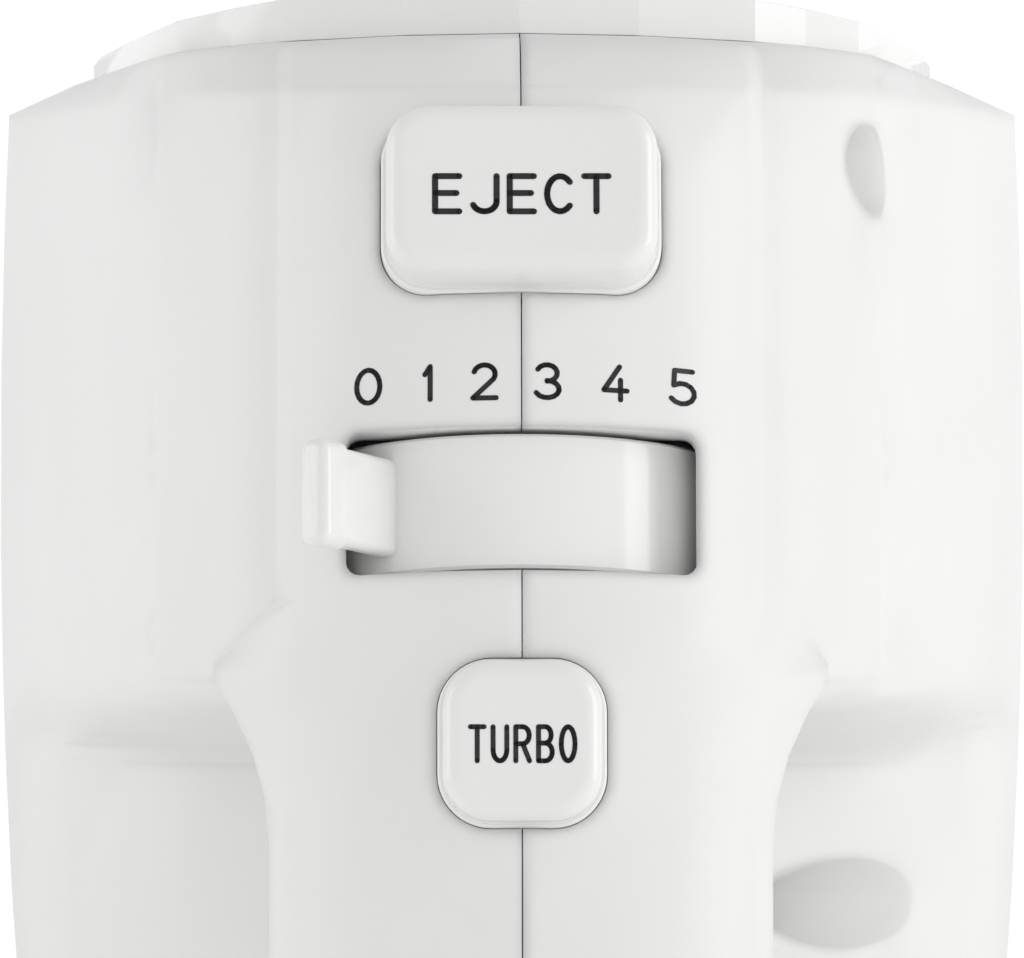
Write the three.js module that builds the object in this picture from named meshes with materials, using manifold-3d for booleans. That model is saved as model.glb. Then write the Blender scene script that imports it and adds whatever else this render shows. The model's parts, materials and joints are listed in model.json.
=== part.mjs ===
// Electric hand mixer, nose up on its heel. Millimetres, +Z towards the nose, -Y on the handle side,
// +Y towards the beaters, +X to the right. The origin is the middle of the heel's flat rest face.
import * as THREE from 'three';
import { mergeVertices } from 'three/addons/utils/BufferGeometryUtils.js';
import Module from 'manifold-3d';

const wasm = await Module();
wasm.setup();

// ---------------------------------------------------------------- driving dimensions

const gap = 0.3; // clearance between two pieces that touch on the real object
const far = 400; // longer than the whole object, for cuts that run right through

// housing
const wall = 2.4;
const halfWidth = 45; // half the greatest width of the housing
const widestZ = 156;
const widthCurve = 660; // radius of the housing's sides, seen from the handle side
const heelZ = 4; // rear face of the two shells
const shoulderZ = 188; // where the front chamfer starts
const noseZ = 192.6; // front face of the two shells on the centre line
const noseCurve = 380; // radius of the front face, seen from the handle side
const baseY = 68; // underside that faces the bowl
const widestY = 30; // depth at which the housing is widest
const baseSquareness = 3.2; // exponent of the base's rounded corners
const heelRound = 6;
const chamferSide = 5.6;
const chamferTop = 6;
const chamferBase = 8;

// handle and the raised spine that carries the controls
const handleTopY = -62;
const handleTopZ = 90; // place of the handle's highest point
const topCurve = 344; // radius of the handle's back, seen from the side
const spineHalf = 20.4;
const spineCamber = 35;
const handleDepth = 29;
const gripRound = 16; // inner corners of the finger opening
const gripFrontZ = 137;
const gripRearZ = 32;
const rootRadius = 22; // plan radius where the handle flares into the front block
const blockRearZ = 139.5; // rear wall of the front block beside the handle
const blockWallRun = 8; // length over which that wall climbs

// nose cap
const capHalf = 36.8;
const capMargin = 1.6; // how far the cap's edge stands back from the edge of the front face
const capTip = 196.8;
const tongueHalf = 15.5;

// controls on the spine
const ejectZ = 178.4;
const ejectSize = { width: 22, length: 14.2, corner: 3.6, proud: 5, skirt: 6 };
const turboZ = 134.8;
const turboSize = { width: 12.9, length: 13, corner: 4, proud: 3.4, skirt: 5 };
const buttonFit = 0.45;
const slotZ = 154.5;
const slotSize = { width: 28.4, length: 11.8, corner: 1.2 };
const slotCollar = { wide: 1.2, deep: 6.4 }; // wall round the slot that hides the working parts
const drumRadius = 18;
const drumRim = 2.2;
const drumDepth = 1.2; // how far the drum's crest lies below the spine
const axleRadius = 2;
const tabRestDeg = 37.5;
const tabSize = { thick: 2.8, neck: 2, length: 8.8, high: 9.8, grip: 2.9 };

// gearbox and beaters
const driveY = 38; // depth of the motor's axis
const spindleX = 19;
const spindleZ = 148;
const wheelTeeth = 30;
const wormStarts = 2;
const wheelPitch = 15.5;
const toothDeep = 1.5;
const wheelThick = 8;
const wormLength = 20;
const spindleRadius = 5.2;
const spindleBore = 3.35;
const beaterShaftRadius = 3;
const beaterTopY = 24.3;
const beaterHubY = 112;
const beaterEndY = 196;
const cageRadius = 21.5;
const strip = { wide: 4.6, thick: 1.4 };

// motor
const statorHalf = { x: 25, y: 21 };
const statorZ = { low: 42, high: 92 };
const rotorRadius = 15.6;
const airGap = 0.9;
const shaftRadius = 2.6;
const bearingOuter = 7;
const bearingWide = 5;
const fanRadius = 21;

// screws that hold the shells, seen from the right: depth and height of each
const screwPlaces = {
  nose_top: { y: -31, z: 181.5 },
  nose_base: { y: 54, z: 178 },
  grip_front: { y: 7.5, z: 119.5 },
  handle_rear: { y: -45, z: 30 },
  heel_base: { y: 50, z: 18.5 },
};
const screw = { head: 3.2, headHigh: 2.4, shank: 1.3, length: 18, pocket: 3.8, boss: 5.2, floorX: 8 };

// ---------------------------------------------------------------- materials

function finish(color, roughness, metalness) {
  return new THREE.MeshStandardMaterial({ color, roughness, metalness });
}
const satinWhite = finish(0xf1f1f0, 0.5, 0);
const glossWhite = finish(0xf4f4f3, 0.2, 0);
const greyRubber = finish(0xc9cac9, 0.8, 0);
const steel = finish(0xb8bcc0, 0.3, 1);
const chrome = finish(0xd8dade, 0.12, 1);
const copper = finish(0xb5652e, 0.4, 1);
const brass = finish(0xc9a654, 0.35, 1);
const sinteredBronze = finish(0x9a7446, 0.55, 1);
const lamination = finish(0x6f7276, 0.5, 1);
const carbon = finish(0x2b2b2d, 0.7, 0);
const blackPlastic = finish(0x26272a, 0.55, 0);
const naturalNylon = finish(0xe6e2d3, 0.5, 0);
const boardGreen = finish(0x2f6b43, 0.55, 0);
const aluminium = finish(0xc3c6c9, 0.4, 1);

// ---------------------------------------------------------------- solids

function toSolid(geometry) {
  const bare = geometry.clone();
  bare.deleteAttribute('normal');
  bare.deleteAttribute('uv');
  const merged = mergeVertices(bare, 1e-4);
  const vertProperties = new Float32Array(merged.attributes.position.array);
  const triVerts = new Uint32Array(merged.index.array);
  return new wasm.Manifold(new wasm.Mesh({ numProp: 3, vertProperties, triVerts }));
}

// height of a triangle over its longest edge, and the corner where that edge starts
function sliverHeight(corners) {
  const lengths = corners.map((corner, side) => corner.distanceTo(corners[(side + 1) % 3]));
  const longest = lengths.indexOf(Math.max(...lengths));
  const triangle = new THREE.Triangle(...corners);
  return { height: (2 * triangle.getArea()) / lengths[longest], longest };
}

// joins and cuts leave a few triangles thinner than the limit where two surfaces nearly meet: each one
// gives its longest edge to the triangle beyond it
function turnSliverEdges(faces, point) {
  const limit = 0.0015;
  const edgeKey = (a, b) => `${a}_${b}`;
  const owners = new Map();
  faces.forEach((face, at) => face.forEach((a, side) => owners.set(edgeKey(a, face[(side + 1) % 3]), at)));
  faces.forEach((face, at) => {
    const { height, longest } = sliverHeight(face.map(point));
    if (height > limit) return;
    const [a, b, c] = [0, 1, 2].map((side) => face[(longest + side) % 3]);
    const beyond = owners.get(edgeKey(b, a));
    const d = faces[beyond].find((corner) => corner !== a && corner !== b);
    if (owners.has(edgeKey(c, d)) || owners.has(edgeKey(d, c))) return;
    owners.delete(edgeKey(a, b));
    owners.delete(edgeKey(b, a));
    faces[at] = [a, d, c];
    faces[beyond] = [d, b, c];
    [at, beyond].forEach((owner) => faces[owner].forEach((corner, side) => {
      owners.set(edgeKey(corner, faces[owner][(side + 1) % 3]), owner);
    }));
  });
}

function toGeometry(solid) {
  const mesh = solid.getMesh();
  const faces = [];
  for (let at = 0; at < mesh.triVerts.length; at += 3) faces.push([...mesh.triVerts.slice(at, at + 3)]);
  const point = (corner) => new THREE.Vector3().fromArray(mesh.vertProperties, corner * 3);
  turnSliverEdges(faces, point);
  turnSliverEdges(faces, point);
  const geometry = new THREE.BufferGeometry();
  geometry.setAttribute('position', new THREE.BufferAttribute(mesh.vertProperties, 3));
  geometry.setIndex(faces.flat());
  geometry.computeVertexNormals();
  return geometry;
}

function box(x0, x1, y0, y1, z0, z1) {
  const geometry = new THREE.BoxGeometry(x1 - x0, y1 - y0, z1 - z0);
  geometry.translate((x0 + x1) / 2, (y0 + y1) / 2, (z0 + z1) / 2);
  return toSolid(geometry);
}

// matrix that turns a piece made along its own Z onto the named axis, then moves it to a place
function along(axis, x, y, z) {
  const turn = new THREE.Matrix4();
  if (axis === 'x') turn.makeRotationY(Math.PI / 2);
  if (axis === 'y') turn.makeRotationX(-Math.PI / 2);
  return turn.premultiply(new THREE.Matrix4().makeTranslation(x, y, z));
}

// matrix of the spine's own frame at a height: X across, Y along the spine to the nose, Z straight out
function onSpine(z) {
  const tilt = topTilt(z);
  const across = new THREE.Vector3(1, 0, 0);
  const forward = new THREE.Vector3(0, Math.sin(tilt), Math.cos(tilt));
  const outward = new THREE.Vector3().crossVectors(across, forward);
  return new THREE.Matrix4().makeBasis(across, forward, outward).setPosition(0, topLine(z), z);
}

// round bar along the piece's own Z, from z0 to z1
function bar(radius, z0, z1, place = new THREE.Matrix4(), sides = 14) {
  const geometry = new THREE.CylinderGeometry(radius, radius, z1 - z0, sides);
  geometry.rotateX(Math.PI / 2);
  geometry.translate(0, 0, (z0 + z1) / 2);
  return toSolid(geometry.applyMatrix4(place));
}

// body turned about the piece's own Z from [radius, z] points
function turned(points, place = new THREE.Matrix4(), sides = 24) {
  const profile = points.map(([radius, z]) => new THREE.Vector2(radius, z));
  const geometry = new THREE.LatheGeometry(profile, sides);
  geometry.rotateX(Math.PI / 2);
  const solid = toSolid(geometry.applyMatrix4(place));
  if (solid.volume() > 0) return solid;
  geometry.setIndex([...geometry.index.array].reverse());
  return toSolid(geometry);
}

// ring of rectangular section about the piece's own Z
function ring(inner, outer, z0, z1, place = new THREE.Matrix4(), sides = 16) {
  return turned([[inner, z0], [outer, z0], [outer, z1], [inner, z1], [inner, z0]], place, sides);
}

function roundedOutline(width, length, corner) {
  const halfX = width / 2;
  const halfY = length / 2;
  const shape = new THREE.Shape();
  shape.moveTo(-halfX + corner, -halfY);
  shape.lineTo(halfX - corner, -halfY);
  shape.absarc(halfX - corner, -halfY + corner, corner, -Math.PI / 2, 0, false);
  shape.absarc(halfX - corner, halfY - corner, corner, 0, Math.PI / 2, false);
  shape.absarc(-halfX + corner, halfY - corner, corner, Math.PI / 2, Math.PI, false);
  shape.absarc(-halfX + corner, -halfY + corner, corner, Math.PI, Math.PI * 1.5, false);
  return shape;
}

// plate cut from an outline in the piece's own XY plane, from z0 to z1
function plate(shape, z0, z1, place = new THREE.Matrix4(), curveSegments = 5) {
  const geometry = new THREE.ExtrudeGeometry(shape, { depth: z1 - z0, bevelEnabled: false, curveSegments });
  geometry.translate(0, 0, z0);
  return toSolid(geometry.applyMatrix4(place));
}

// closed body through a list of closed rings that all have the same number of points
function loft(rings) {
  const count = rings[0].length;
  const positions = rings.flat().flatMap((point) => [point.x, point.y, point.z]);
  const index = [];
  for (let level = 0; level + 1 < rings.length; level += 1) {
    for (let side = 0; side < count; side += 1) {
      const a = level * count + side;
      const b = level * count + (side + 1) % count;
      index.push(a, b, b + count, a, b + count, a + count);
    }
  }
  [0, rings.length - 1].forEach((level, end) => {
    const centre = new THREE.Vector3();
    rings[level].forEach((point) => centre.addScaledVector(point, 1 / count));
    const hub = positions.length / 3;
    positions.push(centre.x, centre.y, centre.z);
    for (let side = 0; side < count; side += 1) {
      const a = level * count + side;
      const b = level * count + (side + 1) % count;
      index.push(...(end ? [a, b, hub] : [b, a, hub]));
    }
  });
  const geometry = new THREE.BufferGeometry();
  geometry.setAttribute('position', new THREE.Float32BufferAttribute(positions, 3));
  geometry.setIndex(index);
  return toSolid(geometry);
}

const join = (solids) => solids.reduce((whole, solid) => whole.add(solid));
const cut = (solid, cutters) => cutters.reduce((left, cutter) => left.subtract(cutter), solid);

// ---------------------------------------------------------------- housing surfaces

const topLine = (z) => handleTopY + (z - handleTopZ) ** 2 / (2 * topCurve);
const topTilt = (z) => Math.atan((z - handleTopZ) / topCurve);
const sideLine = (z) => halfWidth - (z - widestZ) ** 2 / (2 * widthCurve);
const camber = (x) => spineCamber - Math.sqrt(spineCamber ** 2 - x ** 2);
const chamferShare = (z) => THREE.MathUtils.clamp((z - shoulderZ) / (noseZ - shoulderZ), 0, 1);
const noseSag = (x) => x ** 2 / (2 * noseCurve);

// how far a round of the given radius draws in at a distance from the end face
function roundInset(distance, radius) {
  return radius - Math.sqrt(radius ** 2 - Math.max(0, radius - distance) ** 2);
}

// how much the section has risen from the low dome to the full front block
function blockRise(z) {
  return THREE.MathUtils.smootherstep(z, blockRearZ - blockWallRun, blockRearZ);
}

// closed ring from its right half, listed from the handle side to the base
function mirroredRing(half, z) {
  const left = half.slice(1, -1).reverse().map(({ x, y }) => ({ x: -x, y }));
  const bend = chamferShare(z);
  return [...half, ...left].map(({ x, y }) => new THREE.Vector3(x, y, z - bend * noseSag(x)));
}

// half width below which the section is the wide one squeezed
const narrowest = 38;

// section of the front block beside the spine: a soft crease, then a nearly straight flared wall
function bellPoints(width, top, segments) {
  const crease = new THREE.Vector2(spineHalf - 0.2, top + 8.2);
  const hip = new THREE.Vector2(29.5, top + 19);
  const creaseCurve = new THREE.QuadraticBezierCurve(crease, new THREE.Vector2(24.5, top + 9.5), hip);
  const waist = new THREE.Vector2(
    THREE.MathUtils.lerp(hip.x, width, 0.42),
    THREE.MathUtils.lerp(hip.y, widestY, 0.4),
  );
  const wallCurve = new THREE.QuadraticBezierCurve(hip, waist, new THREE.Vector2(width, widestY));
  const underSpine = [new THREE.Vector2(0, top + 3), new THREE.Vector2(spineHalf / 2, top + 4.5)];
  return [...underSpine, ...creaseCurve.getPoints(segments), ...wallCurve.getPoints(segments).slice(1)];
}

// degrees from the side to the middle of a rounded underside, in an even number of steps
const quarterTurn = (steps) => Array.from({ length: steps + 1 }, (_, step) => (90 * step) / steps);

// section of the housing at a height, drawn in by an even inset; the hidden inner face is coarser
function bodyRing(z, inset) {
  const round = roundInset(z - heelZ, heelRound);
  const share = chamferShare(z);
  const width = sideLine(z) - round - chamferSide * share - inset;
  const top = topLine(z) + round + chamferTop * share + inset;
  const base = baseY - round - chamferBase * share - inset;
  const rise = blockRise(z - inset);
  const fine = inset === 0;
  const fullWidth = Math.max(width, narrowest);
  const upper = bellPoints(fullWidth, top, fine ? 3 : 2).map((point) => {
    const dome = widestY - (widestY - inset) * Math.sqrt(Math.max(0, 1 - (point.x / fullWidth) ** 2));
    return { x: (point.x * width) / fullWidth, y: THREE.MathUtils.lerp(dome, point.y, rise) };
  });
  const lower = quarterTurn(fine ? 5 : 3).slice(1).map((degrees) => {
    const angle = THREE.MathUtils.degToRad(degrees);
    const power = 2 / baseSquareness;
    const across = degrees === 90 ? 0 : width * Math.cos(angle) ** power;
    return { x: across, y: widestY + (base - widestY) * Math.sin(angle) ** power };
  });
  return mirroredRing([...upper, ...lower], z);
}

// underside of the handle, with the round ends of the finger opening
function gripUnderside(z) {
  const inside = Math.min(z - gripRearZ, gripFrontZ - z);
  if (inside < 0) return 14;
  return handleTopY + handleDepth + roundInset(inside, gripRound);
}

// extra half width where the handle flares into the front block
function rootFlare(z) {
  const start = blockRearZ - 13.5;
  if (z <= start) return 0;
  const run = Math.min(z, blockRearZ) - start;
  const flare = rootRadius - Math.sqrt(rootRadius ** 2 - run ** 2);
  return flare * THREE.MathUtils.clamp((146 - z) / 5, 0, 1);
}

// section of the handle and of the raised spine that continues it to the nose
function spineRing(z, inset) {
  const round = roundInset(z - heelZ, heelRound);
  const share = chamferShare(z);
  const top = topLine(z) + round + chamferTop * share + inset;
  const flare = rootFlare(z);
  const width = spineHalf + flare - round - inset;
  const crown = Math.min(18.6, width - 1.6);
  const shoulder = top + 9 + flare * 0.4;
  const bottom = gripUnderside(z) - inset;
  const arc = [0, 1 / 3, 2 / 3, 1].map((share) => ({ x: crown * share, y: top + camber(crown * share) }));
  const under = quarterTurn(inset === 0 ? 5 : 3).map((degrees) => {
    const angle = THREE.MathUtils.degToRad(degrees);
    const across = degrees === 90 ? 0 : width * Math.cos(angle) ** 0.71;
    return { x: across, y: shoulder + (bottom - shoulder) * Math.sin(angle) ** 0.71 };
  });
  return mirroredRing([...arc, ...under], z);
}

const capStep = 0.5; // the spine's end faces stand back from the body's
const wallStart = blockRearZ - blockWallRun;
const wallSteps = [0, 0.2, 0.35, 0.5, 0.65, 0.8, 1].map((share) => wallStart + share * blockWallRun);
const outerBody = loft(
  [heelZ, 5, 7, 10, 20, 40, 70, 100, 120, ...wallSteps, 150, 165, 178, shoulderZ, noseZ]
    .map((z) => bodyRing(z, 0)),
);
const outerSpine = loft(
  [
    heelZ + capStep, 6, 8, 11, 22, gripRearZ - 0.4, gripRearZ, 34, 38, 43, 48,
    68, 90, 108, 121, 126, 130, 133.5,
    gripFrontZ, gripFrontZ + 0.4, 139.3, 141, 146, 158, 170, 180, shoulderZ, noseZ - capStep,
  ].map((z) => spineRing(z, 0)),
);

// the housing's inside at an even inset: the cavity itself at the full wall, or the middle of the wall
function housingInside(inset) {
  const bodyZ = [heelZ + inset, 9, 13, 38, 66, 100, ...wallSteps.map((z) => z + inset), 153, 171, shoulderZ];
  const spineZ = [
    heelZ + inset + capStep, 9, 13, gripRearZ - inset - 0.4, gripRearZ, 35, 41, 48, 66, 90, 108, 121, 130,
    gripFrontZ, gripFrontZ + inset, 150, 170, shoulderZ,
  ];
  const body = loft([...bodyZ, noseZ - inset].map((z) => bodyRing(z, inset)));
  return body.add(loft([...spineZ, noseZ - inset - capStep].map((z) => spineRing(z, inset))));
}

// ---------------------------------------------------------------- places of the controls

// the drum's own frame: Z along its axle towards the nose, Y inwards
const drumPlace = onSpine(slotZ)
  .multiply(new THREE.Matrix4().makeTranslation(0, 0, -drumDepth - drumRadius))
  .multiply(new THREE.Matrix4().makeRotationX(-Math.PI / 2));
const drumHalf = slotSize.length / 2 - 0.4;
const ribSpan = { low: drumHalf + 0.6, high: drumHalf + 2.8 };
const stemZ = { low: 168.5, high: 172.5 }; // the eject fork's stem
const gearFrame = { low: 18, high: 21, halfX: 38, z0: 137.5, z1: 160 };
const pegPlaces = { nose: [[-20, 20], [20, 20]], heel: [[-9, -20], [9, 30]] };
const peg = { radius: 2, deep: 4 };
const gland = { z: 17, radius: 4.2, flange: 5.4 };

// ---------------------------------------------------------------- housing pieces

function screwSeats(midWall) {
  const places = Object.values(screwPlaces);
  const bosses = places.flatMap(({ y, z }) => [
    bar(screw.boss, gap / 2, halfWidth, along('x', 0, y, z)).intersect(midWall),
    bar(screw.boss - 1.4, -halfWidth, -gap / 2, along('x', 0, y, z)).intersect(midWall),
  ]);
  const holes = places.flatMap(({ y, z }) => [
    bar(screw.pocket, screw.floorX, far, along('x', 0, y, z), 24),
    bar(screw.shank + gap, -screw.length + 6, screw.floorX + 1, along('x', 0, y, z), 12),
  ]);
  return { bosses, holes };
}

function axleRibs(midWall) {
  return [-1, 1].map((end) => {
    const z0 = Math.min(end * ribSpan.low, end * ribSpan.high);
    const z1 = Math.max(end * ribSpan.low, end * ribSpan.high);
    const rib = plate(roundedOutline(80, 8.6, 1), z0, z1, drumPlace.clone());
    return cut(rib.intersect(midWall), [bar(axleRadius + gap, z0 - 1, z1 + 1, drumPlace.clone())]);
  });
}

function gearFrameLedges(midWall) {
  const reach = gearFrame.halfX - 3;
  return [-1, 1].flatMap((side) => {
    const x0 = Math.min(side * reach, side * halfWidth);
    const x1 = Math.max(side * reach, side * halfWidth);
    return [
      box(x0, x1, gearFrame.low - 3, gearFrame.low - gap, 142, 154).intersect(midWall),
      box(x0, x1, gearFrame.high + gap, gearFrame.high + 3, 142, 154).intersect(midWall),
    ];
  });
}

function slotWall(midWall) {
  const { wide, deep } = slotCollar;
  const outside = [slotSize.width, slotSize.length].map((size) => size + 2 * wide);
  const outline = roundedOutline(...outside, slotSize.corner + wide);
  return plate(outline, -deep, 0, onSpine(slotZ), 2).intersect(midWall);
}

function controlOpenings() {
  const opening = (size, z) => plate(
    roundedOutline(size.width + 2 * buttonFit, size.length + 2 * buttonFit, size.corner + buttonFit),
    -8, 12, onSpine(z),
  );
  const slotOutline = roundedOutline(slotSize.width, slotSize.length, slotSize.corner);
  const slot = plate(slotOutline, -10, 12, onSpine(slotZ), 2);
  return [opening(ejectSize, ejectZ), opening(turboSize, turboZ), slot];
}

function baseOpenings() {
  const sockets = [-1, 1].map((side) => bar(8.4, 0, 30, along('y', side * spindleX, baseY - 15, spindleZ)));
  const vents = [-1, 1].flatMap((side) => [26, 33, 40, 47, 54].map((z) => {
    const x0 = Math.min(side * 5, side * 23);
    return box(x0, x0 + 18, baseY - 8, baseY + 8, z, z + 2.4);
  }));
  return [...sockets, ...vents];
}

function pegHoles() {
  const nose = pegPlaces.nose.map(([x, y]) => {
    return bar(peg.radius + gap, noseZ - 8, noseZ + 8, along('z', x, y, 0), 12);
  });
  const heel = pegPlaces.heel.map(([x, y]) => bar(peg.radius + gap, -8, heelZ + 8, along('z', x, y, 0), 12));
  const cord = bar(gland.radius + gap, 0, 30, along('y', 0, topLine(gland.z) - 15, gland.z));
  return [...nose, ...heel, cord];
}

function shells() {
  const outer = outerBody.add(outerSpine);
  const midWall = housingInside(wall / 2);
  const seats = screwSeats(midWall);
  const ribs = [...axleRibs(midWall), ...gearFrameLedges(midWall), slotWall(midWall)];
  const walls = join([outer.subtract(housingInside(wall)), ...seats.bosses, ...ribs]);
  const seam = box(-gap / 2, gap / 2, -far, far, -far, far);
  const whole = cut(walls, [...seats.holes, ...controlOpenings(), ...baseOpenings(), ...pegHoles(), seam]);
  return {
    left: whole.intersect(box(-far, 0, -far, far, -far, far)),
    right: whole.intersect(box(0, far, -far, far, -far, far)),
  };
}

function shellScrew({ y, z }) {
  const headBase = screw.floorX + gap;
  const place = along('x', 0, y, z);
  const head = bar(screw.head, headBase, headBase + screw.headHigh, place, 16);
  const shank = bar(screw.shank, headBase - screw.length, headBase + 1, place, 12);
  const socket = [0, Math.PI / 2].map((turn) => {
    const slot = new THREE.BoxGeometry(0.9, 3.6, 2.4).rotateZ(turn);
    slot.translate(0, 0, headBase + screw.headHigh);
    return toSolid(slot.applyMatrix4(place));
  });
  return cut(head.add(shank), socket);
}

// cap over the nose: seated on the curved front face, with a raised tongue between two lower wings
function noseCap() {
  const seat = [-1, -0.75, -0.5, -0.25, 0, 0.25, 0.5, 0.75, 1].map((share) => {
    const x = share * capHalf;
    return new THREE.Vector2(x, noseZ + gap - noseSag(x));
  });
  const wing = [[capHalf, 192.3], [capHalf - 0.8, 193], [capHalf - 3, 193.5], [tongueHalf + 1.6, 196.1]];
  const face = [...wing, [tongueHalf, capTip]];
  const mirrored = face.map(([x, z]) => [-x, z]).reverse();
  const front = [...face, ...mirrored].map(([x, z]) => new THREE.Vector2(x, z));
  const profile = new THREE.Shape([...seat, ...front]);
  const turnUp = new THREE.Matrix4().makeRotationX(Math.PI / 2).setPosition(0, 60, 0);
  const slab = plate(profile, -20, 120, turnUp);
  const outline = bodyRing(noseZ, capMargin);
  const atHeight = (z) => outline.map(({ x, y }) => new THREE.Vector3(x, y, z));
  const footprint = loft([atHeight(noseZ - 10), atHeight(noseZ + 10)]);
  const pegs = pegPlaces.nose.map(([x, y]) => {
    return bar(peg.radius, noseZ - peg.deep, noseZ + 2, along('z', x, y, 0), 12);
  });
  return join([slab.intersect(footprint), ...pegs]);
}

function heelCap() {
  const outline = roundedOutline(36, 88, 8);
  const foot = plate(outline, 0, heelZ - gap, along('z', 0, 8, 0));
  const pegs = pegPlaces.heel.map(([x, y]) => bar(peg.radius, 1, heelZ + peg.deep, along('z', x, y, 0), 12));
  return join([foot, ...pegs]);
}

function cordGland() {
  const mouth = topLine(gland.z);
  const place = along('y', 0, mouth, gland.z);
  const bore = 2.6;
  return turned([
    [bore, -3.4], [gland.radius, -3.4], [gland.radius, 8], [gland.flange, 8], [gland.flange, 10], [bore, 10],
    [bore, -3.4],
  ], place, 20);
}

// ---------------------------------------------------------------- controls

function pushButton(size, place) {
  const bevel = 0.9;
  const outline = roundedOutline(size.width - 2 * bevel, size.length - 2 * bevel, size.corner - bevel);
  const depth = size.proud + size.skirt - 2 * bevel;
  const options = { depth, bevelEnabled: true, bevelSize: bevel, bevelThickness: bevel, bevelSegments: 2 };
  const cap = new THREE.ExtrudeGeometry(outline, { ...options, curveSegments: 4 });
  cap.translate(0, 0, -size.skirt + bevel);
  const flange = roundedOutline(size.width + 2.4, size.length + 2.4, size.corner + 1.2);
  return toSolid(cap.applyMatrix4(place)).add(plate(flange, -size.skirt - 1, -size.skirt + 0.6, place, 3));
}

function ejectButton() {
  const place = onSpine(ejectZ);
  const button = pushButton(ejectSize, place);
  const stemTop = topLine(ejectZ);
  const pusher = box(-3, 3, stemTop + 3, stemTop + 10, stemZ.low + 0.5, stemZ.high + 3);
  const reach = onSpine(ejectZ).multiply(new THREE.Matrix4().makeTranslation(0, -4.6, 0));
  const side = plate(roundedOutline(8, 4, 1), -9.5, -ejectSize.skirt, reach, 2);
  return button.add(pusher.intersect(side));
}

function spring(radius, wire, z0, z1, turns, place) {
  class Coil extends THREE.Curve {
    getPoint(share, target = new THREE.Vector3()) {
      const angle = share * turns * 2 * Math.PI;
      const z = THREE.MathUtils.lerp(z0, z1, share);
      return target.set(radius * Math.cos(angle), radius * Math.sin(angle), z);
    }
  }
  const section = new THREE.Shape([0, 1, 2, 3, 4].map((side) => {
    const angle = (side * 2 * Math.PI) / 5;
    return new THREE.Vector2(wire * Math.cos(angle), wire * Math.sin(angle));
  }));
  const geometry = new THREE.ExtrudeGeometry(section, { steps: turns * 10, extrudePath: new Coil() });
  return toSolid(geometry.applyMatrix4(place));
}

function selectorDrum() {
  const hub = 5;
  const rimInner = drumRadius - drumRim;
  const web = 1.2;
  const body = turned([
    [axleRadius + gap, -drumHalf], [hub, -drumHalf], [hub, -web], [rimInner, -web], [rimInner, -drumHalf],
    [drumRadius, -drumHalf], [drumRadius, drumHalf], [rimInner, drumHalf], [rimInner, web], [hub, web],
    [hub, drumHalf], [axleRadius + gap, drumHalf], [axleRadius + gap, -drumHalf],
  ], drumPlace.clone(), 32);
  const finPlace = onSpine(slotZ)
    .multiply(new THREE.Matrix4().makeTranslation(0, 0, -drumDepth - drumRadius))
    .multiply(new THREE.Matrix4().makeRotationY(-THREE.MathUtils.degToRad(tabRestDeg)));
  const tip = drumRadius + tabSize.high;
  const neckOutline = roundedOutline(tabSize.neck, tabSize.length - 0.8, 0.8);
  const neck = plate(neckOutline, drumRadius - 1, tip - 1, finPlace, 2);
  const gripOutline = roundedOutline(tabSize.thick, tabSize.length, 1.3);
  const grip = plate(gripOutline, tip - tabSize.grip, tip, finPlace, 3);
  return join([body, neck, grip]);
}

// stem under the eject button, a cross plate and one finger into each spindle
const forkPlate = { y0: 6, y1: 9, halfX: 23, z0: 144 };
function ejectFork() {
  const stemTop = topLine(ejectZ) + 10 + gap;
  const stem = box(-3, 3, stemTop, forkPlate.y1, stemZ.low, stemZ.high);
  const spine = box(-5, 5, forkPlate.y0, forkPlate.y1, forkPlate.z0, stemZ.high);
  const yoke = box(-forkPlate.halfX, forkPlate.halfX, forkPlate.y0, forkPlate.y1, forkPlate.z0, spindleZ + 4);
  const fingerEnd = beaterTopY - gap;
  const fingers = [-1, 1].map((side) => (
    bar(2.6, forkPlate.y0 + 1, fingerEnd, along('y', side * spindleX, 0, spindleZ), 14)
  ));
  return join([stem, spine, yoke, ...fingers]);
}

function selectorAxle() {
  const end = ribSpan.high + 0.6;
  return bar(axleRadius, -end, end, drumPlace.clone(), 16);
}

const boardY = -3;
function speedSwitch() {
  const body = box(-10, 10, -17, boardY - gap, 149, 159);
  const cam = box(-1.5, 1.5, -17.8, -16, 152, 156);
  return body.add(cam);
}

function circuitBoard() {
  const board = box(-20, 20, boardY, boardY + 1.6, 141, 166);
  const capacitor = bar(4, 141.5, 151, along('z', -15.5, boardY - 3.9, 0), 14);
  return board.add(capacitor);
}

function heatSink() {
  const body = box(12, 19, boardY - 10, boardY - gap, 143, 153);
  const slots = [144.8, 147.4, 150].map((z) => box(11, 20, boardY - 11, boardY - 3, z, z + 1.3));
  return cut(body, slots);
}

function turboSwitch() {
  const place = onSpine(turboZ);
  const body = plate(roundedOutline(9, 8, 0.6), -17, -11.2, place, 2);
  const plunger = plate(roundedOutline(2.4, 2.4, 0.6), -11.4, -10.4, place, 2);
  return body.add(plunger);
}

// ---------------------------------------------------------------- gearbox

const lead = (2 * Math.PI * wheelPitch * wormStarts) / wheelTeeth;
const wormPitchRadius = spindleX - wheelPitch;
const wormZ = { low: spindleZ - wormLength / 2, high: spindleZ + wormLength / 2 };

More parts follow.
